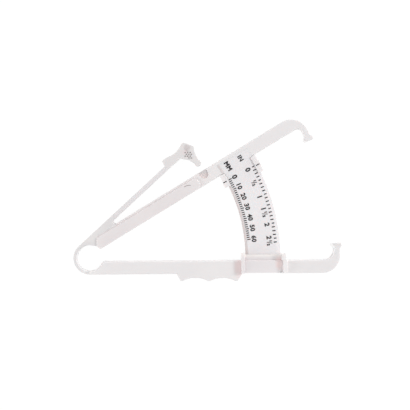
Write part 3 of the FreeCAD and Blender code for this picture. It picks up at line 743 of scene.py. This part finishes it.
# %% [markdown]
# ## The graduations
# Both scales show how far the jaws are apart. The jaws open on a circle, so their
# distance is a chord, and the angle of a mark follows from that chord. A mark is made
# once, a millimetre long and wide, with a few cuts across it so that it can follow the
# bevel. It is then copied round the hinge line, and each copy is stretched to its size.
#
# The two rows aren't drawn for quite the same reach of the jaws, so each has its own
# radius and its own angle for zero. A cheap scale is often like that: it was lettered by
# eye, row by row. Where a number stands, a mark is a little longer in the millimetre row
# and a little shorter in the inch row.

# %% One mark
def ink_strip(name, long, wide, cuts):
    """A flat strip at the origin, cut across, and as thick as the ink."""
    strip = start_plane(name, long, wide)
    bpy.ops.mesh.subdivide(number_cuts=cuts)
    bpy.ops.mesh.extrude_region_move(TRANSFORM_OT_translate={"value": (0, 0, INK_PROUD * MM)})
    bpy.ops.object.mode_set(mode="OBJECT")
    return strip


one_mark = ink_strip("one_mark", 1, 1, cuts=3)


def scale_mark(inner, outer, wide, angle):
    """A copy of the mark, from one radius to another at an angle about the hinge line."""
    middle = Matrix.Translation(((inner + outer) / 2 * MM, 0, 0))
    stretch = Matrix.Diagonal((outer - inner, wide, 1, 1))
    return copy_to(one_mark, about_hinge(angle) @ middle @ stretch)


print("one mark has", len(one_mark.data.polygons), "faces")

# %% Chords and marks
MM_REACH, INCH_REACH = 160.8, 165.5
MM_ZERO = OPEN + math.radians(3.85)
INCH_ZERO = OPEN + math.radians(3.95)
INCH = 25.4


def mm_angle(opening):
    """The angle at rest of the millimetre row's mark for a jaw opening."""
    return MM_ZERO - 2 * math.asin(opening / 2 / MM_REACH)


def inch_angle(inches):
    """The same for the inch row."""
    return INCH_ZERO - 2 * math.asin(inches * INCH / 2 / INCH_REACH)


def row_of_marks(name, angles, wide, plain, numbered, every):
    """A row of marks between the radii of plain, and of numbered at every so many."""
    print_on_plate(name, [
        scale_mark(*(plain if count % every else numbered), wide, angle)
        for count, angle in enumerate(angles)
    ])


mm_angles = [mm_angle(opening) for opening in range(0, 61, 2)]
inch_angles = [inch_angle(eighths / 8) for eighths in range(22)]
row_of_marks("mm_marks", mm_angles, 0.62, plain=(103.6, 105.4), numbered=(103.6, 105.8), every=5)
row_of_marks("inch_marks", inch_angles, 0.66, plain=(119.9, 121.9), numbered=(120.3, 121.9), every=4)

# %% [markdown]
# ## The numbers
# Text in Blender is a curve. Its outline is made a little bolder, and a thin bevel gives
# it thickness and spreads it a touch more, as ink spreads. It is turned into a mesh while
# it still lies at the origin, measured, and only then brought to its size and place and
# pressed as flat as the ink. Each number stands with its foot towards the hinge and is
# read down the plate.
#
# Some letters, such as the M, have two points of their outline almost on top of each
# other. When the letter is made bolder, its outline crosses itself there and the mesh
# comes out folded. So the word is first turned into a plain curve, and one point of each
# such pair is dropped.

# %% Set a word in type
TWINS = 0.004
SPREAD = 0.012
LETTER_STEPS, LETTER_GAP = 4, 1.1


def drop_twins(label):
    """Deletes a curve's points that lie almost on the next one, in the type's own units."""
    bpy.ops.object.mode_set(mode="EDIT")
    bpy.ops.curve.select_all(action="DESELECT")
    for spline in label.data.splines:
        points = list(spline.bezier_points)
        for point, following in zip(points, points[1:]):
            point.select_control_point = (point.co - following.co).length < TWINS
    bpy.ops.curve.delete(type="VERT")
    bpy.ops.object.mode_set(mode="OBJECT")


def set_type(text, tall, along=0.0, up=0.0, bold=0.034):
    """A flat word at the origin, tall mm high, with its middle moved along and up."""
    bpy.ops.object.select_all(action="DESELECT")
    bpy.ops.object.text_add()
    label = bpy.context.active_object
    label.data.body = text
    label.data.resolution_u = LETTER_STEPS
    label.data.space_character = LETTER_GAP
    bpy.ops.object.convert(target="CURVE")
    label = bpy.context.active_object
    drop_twins(label)
    label.data.offset = bold
    label.data.bevel_depth = SPREAD
    label.data.bevel_resolution = 0
    bpy.ops.object.convert(target="MESH")
    label = bpy.context.active_object
    xs = [vertex.co.x for vertex in label.data.vertices]
    ys = [vertex.co.y for vertex in label.data.vertices]
    scale = tall * MM / (max(ys) - min(ys))
    centre = Matrix.Translation((-(max(xs) + min(xs)) / 2, -(max(ys) + min(ys)) / 2, SPREAD))
    flat = Matrix.Diagonal((scale, scale, INK_PROUD * MM / (2 * SPREAD), 1))
    label.data.transform(Matrix.Translation((along * MM, up * MM, 0)) @ flat @ centre)
    return label


def print_at(radius, angle, label):
    """Brings a word to its place on the plate, with its foot towards the hinge line."""
    out = Matrix.Translation((radius * MM, 0, 0))
    upright = Matrix.Rotation(-math.pi / 2, 4, "Z")
    label.data.transform(about_hinge(angle) @ out @ upright)
    return label


# %% [markdown]
# ## Two rows of numbers
# The millimetre row has a number every ten millimetres and the inch row one every half
# inch. The sign for one half is set once, a small 1 high up, a stroke and a small 2 low
# down, and copied where it is needed.

# %% The numbers and the words for their units
ZERO_TALL, MM_TALL, INCH_TALL = 3.5, 3.1, 3.2
MM_RING, INCH_RING = 108.0, 117.3
INCH_LAG = math.radians(0.12)
one_half = join_all("one_half", [
    set_type("1", 1.8, along=-1.1, up=0.8, bold=0.08),
    set_type("/", 3.4, along=-0.15, bold=0.0),
    set_type("2", 1.9, along=1.05, up=-0.8, bold=0.07),
])


def half(along=0.0):
    """A copy of the sign for one half, moved along."""
    return copy_to(one_half, Matrix.Translation((along * MM, 0, 0)))


print_on_plate("mm_numbers", [
    print_at(MM_RING, mm_angle(number), set_type(str(number), MM_TALL if number else ZERO_TALL))
    for number in range(0, 61, 10)
])
inch_labels = [
    set_type("0", ZERO_TALL),
    half(),
    set_type("1", INCH_TALL, along=0.3),
    join_all("one_and_half", [set_type("1", INCH_TALL, along=-1.0), half(2.5)]),
    set_type("2", INCH_TALL),
    join_all("two_and_half", [set_type("2", INCH_TALL, along=-1.0), half(2.3)]),
]
bpy.data.objects.remove(one_half)
print_on_plate("inch_numbers", [
    print_at(INCH_RING, inch_angle(halves / 2) - INCH_LAG, label)
    for halves, label in enumerate(inch_labels)
])
print_on_plate("unit_words", [
    print_at(radius=107.8, angle=OPEN + math.radians(7.95), label=set_type("MM", 3.05, bold=0.05)),
    print_at(radius=116.9, angle=OPEN + math.radians(8.0), label=set_type("IN", 2.8)),
])

# %% [markdown]
# ## The index lines
# The rider has a short line on each of its two tabs. Where they stand against the marks
# is the reading. They are printed as the scale is, but they ride on the rider. They are
# the last copies of the mark, so the mark itself is put away.

# %% Two lines on the rider
INDEX = OPEN + math.radians(3.8)
INDEX_WIDE = 0.6
rider_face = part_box("index_rider")[1][2] / MM
index_lines = join_all("index_lines", [
    scale_mark(100.0, 102.3, INDEX_WIDE, INDEX),
    scale_mark(122.8, 125.3, INDEX_WIDE, INDEX),
])
index_lines.data.transform(Matrix.Translation((0, 0, rider_face * MM)))
settle(index_lines, ink)
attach(index_lines, "rider")
bpy.data.objects.remove(one_mark)

# %% [markdown]
# ## Pips for the thumb
# The thumb head carries a patch of tiny raised pips, so that the thumb doesn't slip off
# it. One pip is a low dome: a disc that is lifted, and whose middle is then inset and
# lifted twice more, less each time.

# %% One pip
PIP_ROUND, PIP_PROUD = 0.42, 0.22
FIRST_RISE, NEXT_RISES = 0.6, (0.3, 0.1)
PIP_RING = 0.3
bpy.ops.object.select_all(action="DESELECT")
bpy.ops.mesh.primitive_circle_add(vertices=12, radius=PIP_ROUND * MM, fill_type="NGON")
one_pip = bpy.context.active_object
bpy.ops.object.mode_set(mode="EDIT")
bpy.ops.mesh.select_all(action="SELECT")
bpy.ops.mesh.extrude_region_move(TRANSFORM_OT_translate={"value": (0, 0, PIP_PROUD * FIRST_RISE * MM)})
for rise in NEXT_RISES:
    bpy.ops.mesh.inset(thickness=PIP_ROUND * PIP_RING * MM, depth=PIP_PROUD * rise * MM)
bpy.ops.object.mode_set(mode="OBJECT")
print("one pip has", len(one_pip.data.polygons), "faces")

# %% [markdown]
# ## The patch of pips
# The patch is made of copies of that one, on staggered rows: every second row is shifted
# by about half a step, and the last one is a pip short. All of them swing with the lever.

# %% Staggered rows of pips
PIP_ROWS = [(0, 1, 2), (0, 1, 2), (0, 1, 2), (1, 2)]
FIRST_X, FIRST_Y = 65.1, 65.4
PIP_STEP, ROW_STEP, STAGGER = 1.55, 1.15, 0.75
head_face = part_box("thumb_head")[1][2] / MM
pips = []
for row, columns in enumerate(PIP_ROWS):
    for column in columns:
        x = FIRST_X + PIP_STEP * column + STAGGER * (row % 2)
        y = FIRST_Y - ROW_STEP * row
        pips.append(copy_to(one_pip, Matrix.Translation(from_hinge(x, y, head_face))))
thumb_pips = join_all("thumb_pips", pips)
settle(thumb_pips, pip_plastic)
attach(thumb_pips, "lever")
bpy.data.objects.remove(one_pip)

# %% [markdown]
# ## The line over the notch
# A short grey arc lies on the raised panel, below the place where the lever's nib
# comes down. A flat strip can't be bent by hand without a window, so it is cut across and
# each of its points is lowered by the square of its distance from the middle.

# %% A grey arc
ARC_LONG, ARC_WIDE, ARC_DROP = 4.2, 0.32, 0.35
ARC_AT = (66.3, 44.85)
ARC_TURN = math.radians(13)
panel_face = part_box("upper_arm")[1][2] / MM
nib_line = ink_strip("nib_line", ARC_LONG, ARC_WIDE, cuts=7)
for vertex in nib_line.data.vertices:
    vertex.co.y -= ARC_DROP * MM * (vertex.co.x / (ARC_LONG / 2 * MM)) ** 2
on_panel = Matrix.Translation(from_hinge(*ARC_AT, panel_face))
nib_line.data.transform(on_panel @ Matrix.Rotation(ARC_TURN, 4, "Z"))
settle(nib_line, pip_plastic)
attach(nib_line, "upper")
